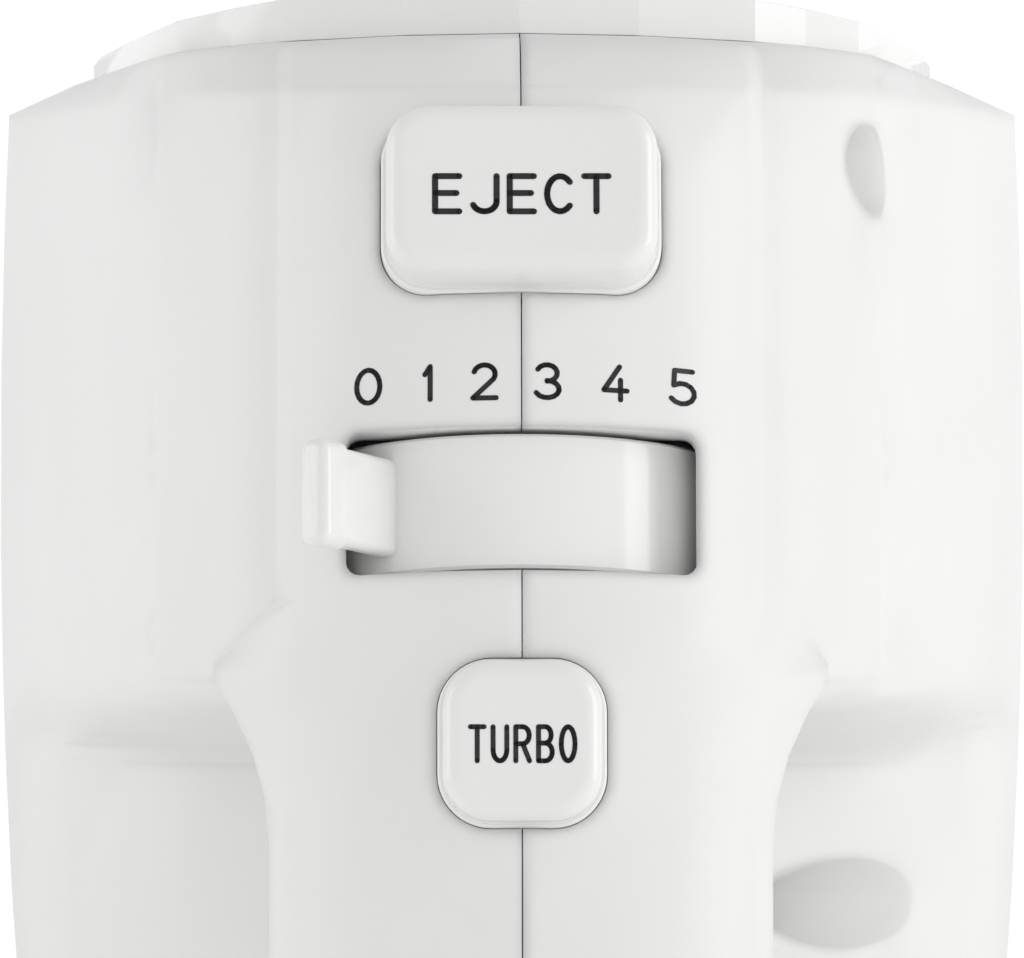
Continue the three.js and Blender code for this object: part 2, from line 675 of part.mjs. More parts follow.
function motorShaft() {
  const place = along('z', 0, driveY, 0);
  const core = bar(shaftRadius, 24, 167, place, 16);
  class Thread extends THREE.Curve {
    constructor(start) {
      super();
      this.start = start;
    }

    getPoint(share, target = new THREE.Vector3()) {
      const z = THREE.MathUtils.lerp(wormZ.low, wormZ.high, share);
      const angle = ((z - spindleZ) / lead + (this.start + 0.5) / wormStarts) * 2 * Math.PI;
      return target.set(3 * Math.cos(angle), 3 * Math.sin(angle), z);
    }
  }
  const half = 0.36;
  const reach = wormPitchRadius + toothDeep / 4 - 3;
  const section = new THREE.Shape([
    new THREE.Vector2(-reach, -half), new THREE.Vector2(reach, -half),
    new THREE.Vector2(reach, half), new THREE.Vector2(-reach, half),
  ]);
  const steps = Math.round((wormLength / lead) * 10);
  const threads = [0, 1].map((start) => {
    const geometry = new THREE.ExtrudeGeometry(section, { steps, extrudePath: new Thread(start) });
    return toSolid(geometry.applyMatrix4(place));
  });
  return join([core, ...threads]);
}

function wormWheel(side) {
  const root = wheelPitch - toothDeep / 2;
  const tip = wheelPitch + toothDeep / 4;
  const step = (2 * Math.PI) / wheelTeeth;
  const points = [];
  for (let tooth = 0; tooth < wheelTeeth; tooth += 1) {
    const middle = tooth * step + (side > 0 ? Math.PI : 0);
    [[-0.26, root], [-0.12, tip], [0.12, tip], [0.26, root]].forEach(([share, radius]) => {
      const angle = middle + share * step;
      points.push(new THREE.Vector2(radius * Math.cos(angle), radius * Math.sin(angle)));
    });
  }
  const outline = new THREE.Shape(points);
  outline.holes.push(new THREE.Path().absarc(0, 0, spindleRadius + gap, 0, 2 * Math.PI, true));
  const y0 = driveY - wheelThick / 2;
  return plate(outline, 0, wheelThick, along('y', side * spindleX, y0, spindleZ), 10);
}

function spindle(side) {
  const place = along('y', side * spindleX, 0, spindleZ);
  return turned([
    [spindleBore, 14.5], [spindleRadius - 0.4, 14.5], [spindleRadius, 16], [spindleRadius, baseY + 1],
    [spindleBore, baseY + 1], [spindleBore, 14.5],
  ], place, 18);
}

function spindleBush(side) {
  const place = along('y', side * spindleX, 0, spindleZ);
  const inner = spindleRadius + gap;
  const disc = ring(inner, 9.6, baseY - 10, baseY - 6.8, place.clone(), 24);
  const flange = disc.intersect(housingInside(wall + gap));
  return flange.add(ring(inner, 8.1, baseY - 10, baseY + 0.8, place.clone(), 24));
}

function gearFramePlate() {
  const { halfX, low, high, z0, z1 } = gearFrame;
  const outline = roundedOutline(2 * halfX, z1 - z0, 3);
  const sheet = plate(outline, low, high, along('y', 0, 0, (z0 + z1) / 2), 3);
  const holes = [-1, 1].map((side) => (
    bar(spindleRadius + gap, low - 1, high + 1, along('y', side * spindleX, 0, spindleZ), 18)
  ));
  return cut(sheet, holes);
}

// ---------------------------------------------------------------- beaters

function beaterShaft(side) {
  const place = along('y', side * spindleX, 0, spindleZ);
  const rod = bar(beaterShaftRadius, beaterTopY, beaterHubY + 8, place, 16);
  const collar = turned([
    [0, beaterHubY - 1], [4.4, beaterHubY - 1], [5, beaterHubY], [5, beaterHubY + 6], [4.2, beaterHubY + 7],
    [0, beaterHubY + 7],
  ], place, 16);
  return rod.add(collar);
}

// one flat strip bent into a U: out from the collar, down the side, and across under the cage
function beaterLoop(side, quarter, floor) {
  const start = 5 + gap + strip.thick / 2;
  const half = [[start, beaterHubY + 1], [start + 3, beaterHubY + 6], [cageRadius - 2, beaterHubY + 24]];
  const belly = [[cageRadius, beaterHubY + 40], [cageRadius - 1, floor - 24], [cageRadius - 9, floor - 5]];
  const right = [...half, ...belly];
  const left = [...right].reverse().map(([r, y]) => [-r, y]);
  const points = [...right, [0, floor], ...left].map(([r, y]) => new THREE.Vector3(r, 0, y));
  const path = new THREE.CatmullRomCurve3(points, false, 'centripetal');
  const section = new THREE.Shape([
    new THREE.Vector2(-strip.wide / 2, -strip.thick / 2), new THREE.Vector2(strip.wide / 2, -strip.thick / 2),
    new THREE.Vector2(strip.wide / 2, strip.thick / 2), new THREE.Vector2(-strip.wide / 2, strip.thick / 2),
  ]);
  const geometry = new THREE.ExtrudeGeometry(section, { steps: 30, extrudePath: path });
  const turn = Math.PI / 4 * (side > 0 ? 1 : 0) + (Math.PI / 2) * quarter;
  geometry.applyMatrix4(new THREE.Matrix4().makeRotationZ(turn));
  return toSolid(geometry.applyMatrix4(along('y', side * spindleX, 0, spindleZ)));
}

// ---------------------------------------------------------------- motor

const motorPlace = () => along('z', 0, driveY, 0);
const bearingZ = { rear: 26, front: 102 };

function statorCore() {
  const shape = roundedOutline(2 * statorHalf.x, 2 * statorHalf.y, 6);
  const bore = new THREE.Path();
  const reach = rotorRadius + airGap;
  const windowHalf = 9;
  const windowX = 21.6;
  const corner = Math.asin(windowHalf / reach);
  bore.absarc(0, 0, reach, corner, Math.PI - corner, false);
  bore.lineTo(-windowX, windowHalf);
  bore.lineTo(-windowX, -windowHalf);
  bore.absarc(0, 0, reach, Math.PI + corner, 2 * Math.PI - corner, false);
  bore.lineTo(windowX, -windowHalf);
  bore.lineTo(windowX, windowHalf);
  shape.holes.push(bore);
  return plate(shape, statorZ.low, statorZ.high, motorPlace(), 8);
}

function fieldCoil(side) {
  const x0 = side > 0 ? 17.2 : -21.2;
  const place = along('z', x0 + 2, driveY, 0);
  return plate(roundedOutline(4, 16.8, 1.8), statorZ.low - 2, statorZ.high + 2, place, 3);
}

function bracket(z0, thick, width, height) {
  const shape = roundedOutline(width, height, 5);
  shape.holes.push(new THREE.Path().absarc(0, 0, bearingOuter + gap, 0, 2 * Math.PI, true));
  return plate(shape, z0, z0 + thick, motorPlace(), 8);
}

function coolingFan() {
  const low = 94.8;
  const high = 101;
  const disc = ring(shaftRadius + gap, fanRadius, low, low + 1.4, motorPlace(), 24);
  const hub = ring(shaftRadius + gap, 6, low, high, motorPlace(), 12);
  const blades = [];
  for (let blade = 0; blade < 9; blade += 1) {
    const shape = new THREE.BoxGeometry(fanRadius - 7, 1, high - low - 0.4);
    shape.rotateZ(0.45).translate((fanRadius + 5) / 2, 0, (low + high) / 2 - 0.2);
    shape.rotateZ((blade * 2 * Math.PI) / 9);
    blades.push(toSolid(shape.applyMatrix4(motorPlace())));
  }
  return join([disc, hub, ...blades]);
}

function brushHolder(side) {
  const x0 = side > 0 ? 10 : -24;
  const body = box(x0, x0 + 14, driveY - 4, driveY + 4, 32, 39.6);
  return body.subtract(box(x0 - 1, x0 + 15, driveY - 2.3, driveY + 2.3, 33.5, 38.1));
}

function brush(side) {
  const x0 = side > 0 ? 9.4 : -19.4;
  return box(x0, x0 + 10, driveY - 2, driveY + 2, 33.8, 37.8);
}

// ---------------------------------------------------------------- assembly

const mixer = new THREE.Group();

function addPiece(name, solid, material) {
  const mesh = new THREE.Mesh(toGeometry(solid), material);
  mesh.name = name;
  mixer.add(mesh);
}

const shellHalves = shells();
addPiece('left_shell', shellHalves.left, satinWhite);
addPiece('right_shell', shellHalves.right, satinWhite);
addPiece('nose_cap', noseCap(), glossWhite);
addPiece('heel_cap', heelCap(), greyRubber);
addPiece('cord_gland', cordGland(), greyRubber);
for (const [name, place] of Object.entries(screwPlaces)) {
  addPiece(`screw_${name}`, shellScrew(place), steel);
}

addPiece('eject_button', ejectButton(), glossWhite);
addPiece('eject_spring', spring(2.6, 0.35, -13, -ejectSize.skirt - 1.8, 4, onSpine(ejectZ + 2)), steel);
addPiece('eject_fork', ejectFork(), blackPlastic);
addPiece('selector_drum', selectorDrum(), glossWhite);
addPiece('selector_axle', selectorAxle(), steel);
addPiece('speed_switch', speedSwitch(), blackPlastic);
addPiece('turbo_button', pushButton(turboSize, onSpine(turboZ)), glossWhite);
addPiece('turbo_spring', spring(3, 0.3, -10.7, -turboSize.skirt - 1.6, 3, onSpine(turboZ)), steel);
addPiece('turbo_switch', turboSwitch(), blackPlastic);
addPiece('circuit_board', circuitBoard(), boardGreen);
addPiece('heat_sink', heatSink(), aluminium);

addPiece('motor_shaft', motorShaft(), steel);
addPiece('armature_core', ring(shaftRadius + gap, rotorRadius, 44, 90, motorPlace(), 24), lamination);
addPiece('commutator', ring(shaftRadius + gap, 9, 32, 41, motorPlace()), copper);
addPiece('cooling_fan', coolingFan(), naturalNylon);
addPiece('stator_core', statorCore(), lamination);
addPiece('rear_bracket', bracket(27.4, 2.2, 40, 36), aluminium);
addPiece('front_bracket', bracket(103.4, 2.2, 50, 40), aluminium);
for (const [end, z] of Object.entries(bearingZ)) {
  const bearing = ring(shaftRadius + gap, bearingOuter, z, z + bearingWide, motorPlace());
  addPiece(`${end}_bearing`, bearing, sinteredBronze);
}
addPiece('gear_frame', gearFramePlate(), aluminium);

for (const [word, side] of [['left', -1], ['right', 1]]) {
  addPiece(`field_coil_${word}`, fieldCoil(side), copper);
  addPiece(`brush_holder_${word}`, brushHolder(side), brass);
  addPiece(`brush_${word}`, brush(side), carbon);
  addPiece(`worm_wheel_${word}`, wormWheel(side), naturalNylon);
  addPiece(`spindle_${word}`, spindle(side), steel);
  addPiece(`spindle_bush_${word}`, spindleBush(side), naturalNylon);
  addPiece(`beater_shaft_${word}`, beaterShaft(side), chrome);
  addPiece(`beater_loop_outer_${word}`, beaterLoop(side, 0, beaterEndY), chrome);
  addPiece(`beater_loop_inner_${word}`, beaterLoop(side, 1, beaterEndY - strip.thick - 2 * gap), chrome);
}

export default mixer;
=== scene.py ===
"""Looks of the hand mixer: shells, controls, printed marks, beaters, light and camera."""
import json
import math

import bmesh
import bpy
from bpy.props import FloatProperty, IntProperty, PointerProperty, StringProperty
from mathutils import Matrix, Vector
from mathutils.bvhtree import BVHTree

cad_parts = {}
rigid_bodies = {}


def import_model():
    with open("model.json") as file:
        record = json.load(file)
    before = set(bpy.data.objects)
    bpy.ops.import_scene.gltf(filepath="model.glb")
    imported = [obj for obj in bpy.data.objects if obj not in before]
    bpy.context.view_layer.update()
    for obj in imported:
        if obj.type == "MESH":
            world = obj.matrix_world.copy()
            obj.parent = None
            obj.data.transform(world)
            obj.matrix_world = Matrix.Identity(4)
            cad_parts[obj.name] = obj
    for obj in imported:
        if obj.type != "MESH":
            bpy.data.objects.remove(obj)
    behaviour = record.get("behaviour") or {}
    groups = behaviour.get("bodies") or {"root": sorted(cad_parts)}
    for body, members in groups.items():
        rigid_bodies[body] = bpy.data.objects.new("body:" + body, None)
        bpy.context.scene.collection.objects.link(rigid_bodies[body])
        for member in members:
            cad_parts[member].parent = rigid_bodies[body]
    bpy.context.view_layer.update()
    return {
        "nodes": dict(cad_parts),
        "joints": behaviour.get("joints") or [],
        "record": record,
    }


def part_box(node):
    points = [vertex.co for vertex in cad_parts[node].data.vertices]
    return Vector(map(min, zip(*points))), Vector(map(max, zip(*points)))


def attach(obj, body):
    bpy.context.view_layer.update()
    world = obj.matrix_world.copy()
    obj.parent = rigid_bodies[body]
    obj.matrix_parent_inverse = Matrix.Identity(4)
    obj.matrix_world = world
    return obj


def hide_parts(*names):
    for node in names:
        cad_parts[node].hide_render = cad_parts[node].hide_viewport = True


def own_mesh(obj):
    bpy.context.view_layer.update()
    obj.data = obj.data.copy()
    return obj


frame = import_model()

bl_info = {
    "name": "Hand mixer finish",
    "version": (1, 0, 0),
    "blender": (4, 5, 0),
    "location": "3D view > Sidebar > Mixer",
    "description": "Builds the visible pieces and finishes of a hand mixer round its mechanical frame",
    "category": "Object",
}

MM = 0.001
JOINTS = {joint["name"]: joint for joint in frame["joints"]}
ACROSS = Vector((1, 0, 0))

# sizes of the frame's controls that the rounded pieces follow
BUTTON_FIT = 0.45 * MM
EJECT_PROUD = 5 * MM
TURBO_PROUD = 3.4 * MM
LEDGE_DEPTH = 0.25 * MM
SHELL_GAP = 0.2 * MM
NOSE_SEAT = 192.9 * MM
NOSE_CURVE = 380 * MM
SEAT_DROP = 0.2 * MM
DRUM_RADIUS = 18 * MM
DRUM_RIM = 15.8 * MM
DRUM_HUB = 5 * MM
DRUM_BORE = 2.3 * MM
DRUM_WEB = 1.2 * MM
DRUM_EDGE = 0.25 * MM
TAB_REST = math.radians(37.5)
TAB_HIGH = 9.8 * MM
TAB_LONG = 8.8 * MM
TAB_THICK = 2.8 * MM
TAB_NECK = 2 * MM
TAB_GRIP = 2.9 * MM


# ------------------------------------------------------------------ settings

class MixerHousingSettings(bpy.types.PropertyGroup):
    shell_colour: StringProperty(
        name="Shell colour", description="Satin plastic of the two shells, sRGB hex", default="EDEDEC")
    cap_colour: StringProperty(
        name="Gloss colour", description="Gloss plastic of the cap and the controls, sRGB hex",
        default="F0F0EF")
    edge_radius: FloatProperty(
        name="Edge radius", description="Moulded radius on the shells' openings and seam",
        default=0.35 * MM, unit="LENGTH", precision=5)
    seam: FloatProperty(
        name="Seam", description="Gap that shows between two moulded pieces drawn tight",
        default=0.05 * MM, unit="LENGTH", precision=5)
    grain_size: FloatProperty(
        name="Grain size", description="Spacing of the satin texture etched into the mould",
        default=0.42 * MM, unit="LENGTH", precision=5)


class MixerControlSettings(bpy.types.PropertyGroup):
    ledge_fit: FloatProperty(
        name="Ledge fit", description="Gap between a push button's ledge and the shell",
        default=0.07 * MM, unit="LENGTH", precision=5)
    top_round: FloatProperty(
        name="Top round", description="Radius round the face of a push button",
        default=1.5 * MM, unit="LENGTH", precision=5)
    drum_steps: IntProperty(name="Drum steps", description="Facets round the selector drum", default=96)
    ink_colour: StringProperty(name="Ink colour", description="Printed marks, sRGB hex", default="141414")
    ink_height: FloatProperty(
        name="Ink height", description="Thickness of the printed ink",
        default=0.03 * MM, unit="LENGTH", precision=6)


class MixerStageSettings(bpy.types.PropertyGroup):
    camera_azimuth: FloatProperty(
        name="Azimuth", description="Camera turn about the mixer, from straight in front of the handle",
        default=math.radians(-0.53), subtype="ANGLE")
    camera_distance: FloatProperty(
        name="Distance", description="Camera distance from the middle of the housing", default=1.025,
        unit="LENGTH")
    camera_lens: FloatProperty(name="Lens", description="Focal length in millimetres", default=409.5)
    back_strength: FloatProperty(
        name="Back strength", description="Brightness of the studio behind the mixer", default=1.05)
    front_strength: FloatProperty(
        name="Front strength", description="Brightness of the studio in front of the mixer", default=0.89)
    key_power: FloatProperty(
        name="Key power", description="Power of the right softbox", default=10.0, unit="POWER")
    fill_power: FloatProperty(
        name="Fill power", description="Power of the left softbox", default=5.0, unit="POWER")


# ------------------------------------------------------------------ materials

def srgb(code):
    """Linear colour of an sRGB hex value."""
    parts = [int(code[at:at + 2], 16) / 255 for at in (0, 2, 4)]
    linear = [part / 12.92 if part <= 0.04045 else ((part + 0.055) / 1.055) ** 2.4 for part in parts]
    return (*linear, 1.0)


def add_node(tree, kind, settings=None, links=None):
    """Add a node, set its properties or unlinked inputs, and link the named inputs."""
    node = tree.nodes.new(kind)
    for key, value in (settings or {}).items():
        if isinstance(key, str) and hasattr(node, key):
            setattr(node, key, value)
        else:
            node.inputs[key].default_value = value
    for key, socket in (links or {}).items():
        tree.links.new(socket, node.inputs[key])
    return node


def new_material(name):
    """Empty node material, with its principled shader linked to the output."""
    material = bpy.data.materials.new(name)
    material.use_nodes = True
    tree = material.node_tree
    tree.nodes.clear()
    shader = add_node(tree, "ShaderNodeBsdfPrincipled")
    add_node(tree, "ShaderNodeOutputMaterial", links={"Surface": shader.outputs["BSDF"]})
    coords = add_node(tree, "ShaderNodeTexCoord").outputs["Object"]
    return material, tree, shader, coords


def noise(tree, coords, size, detail=2.0, roughness=0.5):
    """Noise whose features have the given size in metres."""
    settings = {"Scale": 1 / size, "Detail": detail, "Roughness": roughness}
    return add_node(tree, "ShaderNodeTexNoise", settings, {"Vector": coords}).outputs["Fac"]


def spread(tree, value, low, high):
    """Stretch a pattern's middle range to the given low and high value."""
    settings = {"From Min": 0.3, "From Max": 0.7, "To Min": low, "To Max": high}
    return add_node(tree, "ShaderNodeMapRange", settings, {"Value": value}).outputs["Result"]


def tint(tree, value, dark, light):
    """Colour that runs from dark to light with a pattern."""
    ramp = add_node(tree, "ShaderNodeValToRGB", links={"Fac": value})
    ramp.color_ramp.elements[0].position = 0.3
    ramp.color_ramp.elements[1].position = 0.7
    ramp.color_ramp.elements[0].color = srgb(dark)
    ramp.color_ramp.elements[1].color = srgb(light)
    return ramp.outputs["Color"]


def bump(tree, shader, height, distance, strength=1.0, edge=0):
    """Raise the surface by a pattern, over a real distance in metres, on edges rounded by a radius."""
    links = {"Height": height}
    if edge:
        links["Normal"] = add_node(tree, "ShaderNodeBevel", {"samples": 8, "Radius": edge}).outputs["Normal"]
    node = add_node(tree, "ShaderNodeBump", {"Strength": strength, "Distance": distance}, links)
    tree.links.new(node.outputs["Normal"], shader.inputs["Normal"])


def shade(code, factor):
    """Hex colour scaled by a factor."""
    parts = [min(255, round(int(code[at:at + 2], 16) * factor)) for at in (0, 2, 4)]
    return "".join(f"{part:02X}" for part in parts)


def satin_abs(colour, grain):
    """Injection-moulded ABS from a spark-eroded mould: white, soft sheen, fine even grain."""
    material, tree, shader, coords = new_material("abs_moulded_satin_white")
    cloud = noise(tree, coords, 22 * MM, 3)
    tree.links.new(tint(tree, cloud, shade(colour, 0.988), colour), shader.inputs["Base Color"])
    etched = noise(tree, coords, grain, 3, 0.6)
    tree.links.new(spread(tree, etched, 0.38, 0.5), shader.inputs["Roughness"])
    bump(tree, shader, etched, 0.012 * MM, 0.55, 1.8 * MM)
    shader.inputs["IOR"].default_value = 1.54
    return material


def gloss_abs(colour):
    """ABS from a polished mould: bright reflections, with the slight waviness of a moulded face."""
    material, tree, shader, coords = new_material("abs_moulded_gloss_white")
    cloud = noise(tree, coords, 15 * MM, 2)
    tree.links.new(tint(tree, cloud, shade(colour, 0.99), colour), shader.inputs["Base Color"])
    tree.links.new(spread(tree, noise(tree, coords, 4 * MM), 0.1, 0.17), shader.inputs["Roughness"])
    bump(tree, shader, noise(tree, coords, 7 * MM, 1), 0.05 * MM, 0.25)
    shader.inputs["IOR"].default_value = 1.54
    return material


def soft_rubber():
    """Moulded thermoplastic rubber: matt light grey with a fine tooth."""
    material, tree, shader, coords = new_material("rubber_moulded_matt_grey")
    cloud = noise(tree, coords, 9 * MM, 3)
    tree.links.new(tint(tree, cloud, "C3C4C3", "CBCCCB"), shader.inputs["Base Color"])
    tooth = noise(tree, coords, 0.5 * MM, 3)
    tree.links.new(spread(tree, tooth, 0.7, 0.85), shader.inputs["Roughness"])
    bump(tree, shader, tooth, 0.03 * MM, 0.6)
    return material


def metal(name, dark, light, rough, scratch, stretch=(1, 1, 1), depth=0.004 * MM):
    """Bare metal, with tool marks of the given size stretched along one axis."""
    material, tree, shader, coords = new_material(name)
    shader.inputs["Metallic"].default_value = 1.0
    mapped = add_node(tree, "ShaderNodeMapping", {"Scale": stretch}, {"Vector": coords}).outputs["Vector"]
    marks = noise(tree, mapped, scratch, 4, 0.6)
    tree.links.new(tint(tree, marks, dark, light), shader.inputs["Base Color"])
    tree.links.new(spread(tree, marks, *rough), shader.inputs["Roughness"])
    bump(tree, shader, marks, depth, 0.4)
    return material


def moulded(name, dark, light, rough, grain):
    """Plain moulded plastic or pressed part with a faint grain."""
    material, tree, shader, coords = new_material(name)
    tree.links.new(tint(tree, noise(tree, coords, 8 * MM, 3), dark, light), shader.inputs["Base Color"])
    texture = noise(tree, coords, grain, 3)
    tree.links.new(spread(tree, texture, *rough), shader.inputs["Roughness"])
    bump(tree, shader, texture, 0.01 * MM, 0.5)
    return material


def printed_ink(colour):
    """Pad-printed black ink: dense and slightly shiny, with a trace of uneven cover."""
    material, tree, shader, coords = new_material("ink_pad_printed_black")
    cover = noise(tree, coords, 0.8 * MM, 3)
    tree.links.new(tint(tree, cover, colour, shade(colour, 1.25)), shader.inputs["Base Color"])
    tree.links.new(spread(tree, cover, 0.35, 0.5), shader.inputs["Roughness"])
    bump(tree, shader, cover, 0.004 * MM, 0.5)
    return material


def studio_paper():
    """White studio paper: matt, with the faintest mottling and a little light of its own."""
    material, tree, shader, coords = new_material("paper_studio_white")
    mottle = noise(tree, coords, 60 * MM, 3)
    tree.links.new(tint(tree, mottle, "F7F7F6", "FAFAFA"), shader.inputs["Base Color"])
    tree.links.new(spread(tree, noise(tree, coords, 2 * MM), 0.8, 0.95), shader.inputs["Roughness"])
    shader.inputs["Emission Color"].default_value = (1, 1, 1, 1)
    shader.inputs["Emission Strength"].default_value = 0.12
    return material


def finishes():
    """All finishes, by the record's material slot."""
    housing = bpy.context.scene.mixer_housing
    return {
        "satin_abs": satin_abs(housing.shell_colour, housing.grain_size),
        "gloss_abs": gloss_abs(housing.cap_colour),
        "soft_rubber": soft_rubber(),
        "steel": metal("steel_zinc_plated", "A9ABAE", "C4C6C8", (0.25, 0.4), 0.6 * MM),
        "chrome": metal("steel_chrome_plated", "D9DADB", "E4E5E6", (0.05, 0.13), 3 * MM, depth=0.002 * MM),
        "copper": metal(
            "copper_enamelled_wire", "8F4A25", "B96A3A", (0.25, 0.4), 0.5 * MM, (1, 1, 0.1), 0.05 * MM),
        "brass": metal("brass_stamped", "B08D45", "C9A75C", (0.25, 0.4), 0.8 * MM),
        "bronze": metal("bronze_sintered", "7C5A33", "9A7548", (0.45, 0.65), 0.25 * MM, depth=0.02 * MM),
        "lamination_steel": metal(
            "steel_laminated_core", "565A5E", "74787C", (0.4, 0.6), 0.5 * MM, (0.05, 0.05, 1)),
        "carbon": moulded("carbon_pressed", "202022", "2C2C2E", (0.55, 0.75), 0.3 * MM),
        "black_plastic": moulded("nylon_moulded_black", "1E1F21", "27282A", (0.4, 0.55), 0.4 * MM),
        "natural_nylon": moulded("nylon_moulded_natural", "DDD7C4", "E7E2D2", (0.4, 0.55), 0.5 * MM),
        "circuit_laminate": moulded("laminate_glass_epoxy_green", "285E39", "326E45", (0.3, 0.45), 0.3 * MM),
        "aluminium": metal("aluminium_die_cast", "AFB2B5", "C6C9CC", (0.35, 0.5), 0.5 * MM, depth=0.01 * MM),
    }


FINISH = {}


# ------------------------------------------------------------------ mesh helpers

def finish_piece(mesh_data, name, body, slot, sharp=math.radians(34)):
    """Make an object of a bmesh, smooth it up to its sharp edges, give it its finish and body."""
    mesh = bpy.data.meshes.new(name)
    mesh_data.to_mesh(mesh)
    mesh_data.free()
    piece = bpy.data.objects.new(name, mesh)
    bpy.context.scene.collection.objects.link(piece)
    mesh.shade_smooth()
    mesh.set_sharp_from_angle(angle=sharp)
    mesh.materials.append(FINISH[slot])
    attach(piece, body)
    return piece


def merged_copy(node):
    """The frame node's own surface as one connected mesh."""
    data = bmesh.new()
    data.from_mesh(frame["nodes"][node].data)
    bmesh.ops.remove_doubles(data, verts=data.verts, dist=0.004 * MM)
    bmesh.ops.dissolve_degenerate(data, edges=data.edges, dist=0.004 * MM)
    return data


def round_edges(piece, width, segments=3, angle=math.radians(38)):
    """Moulded radius on the piece's hard edges."""
    bevel = piece.modifiers.new("edge_radius", "BEVEL")
    bevel.width = width
    bevel.segments = segments
    bevel.limit_method = "ANGLE"
    bevel.angle_limit = angle
    bevel.harden_normals = True
    return bevel


def extent(node, direction):
    """Lowest and highest place of a frame node along a direction."""
    places = [vertex.co.dot(direction) for vertex in frame["nodes"][node].data.vertices]
    return min(places), max(places)


def box_middle(node):
    low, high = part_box(node)
    return (low + high) / 2


def body_of_node(node):
    return next(body for body, names in frame["record"]["behaviour"]["bodies"].items() if node in names)


def local_frame(joint):
    """Axes of a control on the spine: across, along the spine to the nose, and straight out."""
    outward = -Vector(JOINTS[joint]["axis"]).normalized()
    return ACROSS, outward.cross(ACROSS).normalized(), outward


# ------------------------------------------------------------------ housing

def shell(node):
    """A moulded shell: the frame's surface, seam drawn tight, facets smoothed and edges rounded."""
    settings = bpy.context.scene.mixer_housing
    data = merged_copy(node)
    side = 1 if box_middle(node).x > 0 else -1
    for vert in data.verts:
        if abs(vert.co.x) < SHELL_GAP:
            vert.co.x = side * settings.seam
    piece = finish_piece(data, node + "_moulding", body_of_node(node), "satin_abs")
    round_edges(piece, settings.edge_radius, 2)
    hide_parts(node)
    return piece


def cap(node, slot, radius):
    """An end cap with a moulded radius round its rim, its seat drawn tight against the shells."""
    data = merged_copy(node)
    for vert in data.verts:
        seat = NOSE_SEAT - vert.co.x ** 2 / (2 * NOSE_CURVE)
        if abs(vert.co.z - seat) < 0.06 * MM:
            vert.co.z -= SEAT_DROP
    piece = finish_piece(data, node + "_moulding", body_of_node(node), slot)
    round_edges(piece, radius, 3)
    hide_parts(node)
    return piece


# ------------------------------------------------------------------ push buttons

def rounded_block(place, size, corner, top_round, steps=10):
    """Block with round corners and a softly rounded top. The place puts its top's middle."""
    width, length, height = size
    data = bmesh.new()
    shape = Matrix.Translation((0, 0, -height / 2)) @ Matrix.Diagonal((width, length, height, 1))
    bmesh.ops.create_cube(data, size=1, matrix=shape)
    uprights = [edge for edge in data.edges if abs((edge.verts[0].co - edge.verts[1].co).z) > height / 2]
    bmesh.ops.bevel(
        data, geom=uprights, offset=corner, segments=steps, profile=0.5, affect="EDGES", material=-1)
    rim = [edge for edge in data.edges if all(vert.co.z > -height / 2 for vert in edge.verts)]
    bmesh.ops.bevel(data, geom=rim, offset=top_round, segments=6, profile=0.5, affect="EDGES", material=-1)
    top = [face for face in data.faces if face.normal.z > 0.999]
    bmesh.ops.inset_region(data, faces=top, thickness=0.3 * MM, use_even_offset=True)
    bmesh.ops.transform(data, matrix=place, verts=data.verts)
    return data


def placed(axes, centre):
    """Matrix that puts local axes at a centre."""
    matrix = Matrix(axes).transposed().to_4x4()
    matrix.translation = centre
    return matrix


def add_mesh(data, extra):
    """Add one mesh to another and free it."""
    mesh = bpy.data.meshes.new("extra")
    extra.to_mesh(mesh)
    extra.free()
    data.from_mesh(mesh)
    bpy.data.meshes.remove(mesh)


def button_face(node, axes):
    """Middle, width and length of a push button's face."""
    across, along, outward = axes
    high = extent(node, outward)[1]
    face = [
        vertex.co for vertex in frame["nodes"][node].data.vertices if vertex.co.dot(outward) > high - 2 * MM]
    sides = [co.dot(across) for co in face]
    ends = [co.dot(along) for co in face]
    middle = across * (min(sides) + max(sides)) / 2 + along * (min(ends) + max(ends)) / 2
    return middle + outward * high, max(sides) - min(sides), max(ends) - min(ends)


def push_button(node, joint, corner, proud):
    """A push button: a rounded face, a ledge that fills its opening, and the frame's skirt and stem."""
    settings = bpy.context.scene.mixer_controls
    axes = local_frame(joint)
    outward = axes[2]
    centre, width, length = button_face(node, axes)
    data = rounded_block(placed(axes, centre), (width, length, proud + 1 * MM), corner, settings.top_round)
    opening = 2 * (BUTTON_FIT - settings.ledge_fit)
    ledge = rounded_block(
        placed(axes, centre - outward * (proud + LEDGE_DEPTH)), (width + opening, length + opening, 1.6 * MM),
        corner + opening / 2, 0.3 * MM)
    add_mesh(data, ledge)
    skirt = merged_copy(node)
    bmesh.ops.bisect_plane(
        skirt, geom=skirt.verts[:] + skirt.edges[:] + skirt.faces[:],
        plane_co=centre - outward * (proud + 0.6 * MM), plane_no=outward, clear_outer=True)
    add_mesh(data, skirt)
    piece = finish_piece(data, node + "_moulding", body_of_node(node), "gloss_abs")
    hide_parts(node)
    return piece


# ------------------------------------------------------------------ speed selector

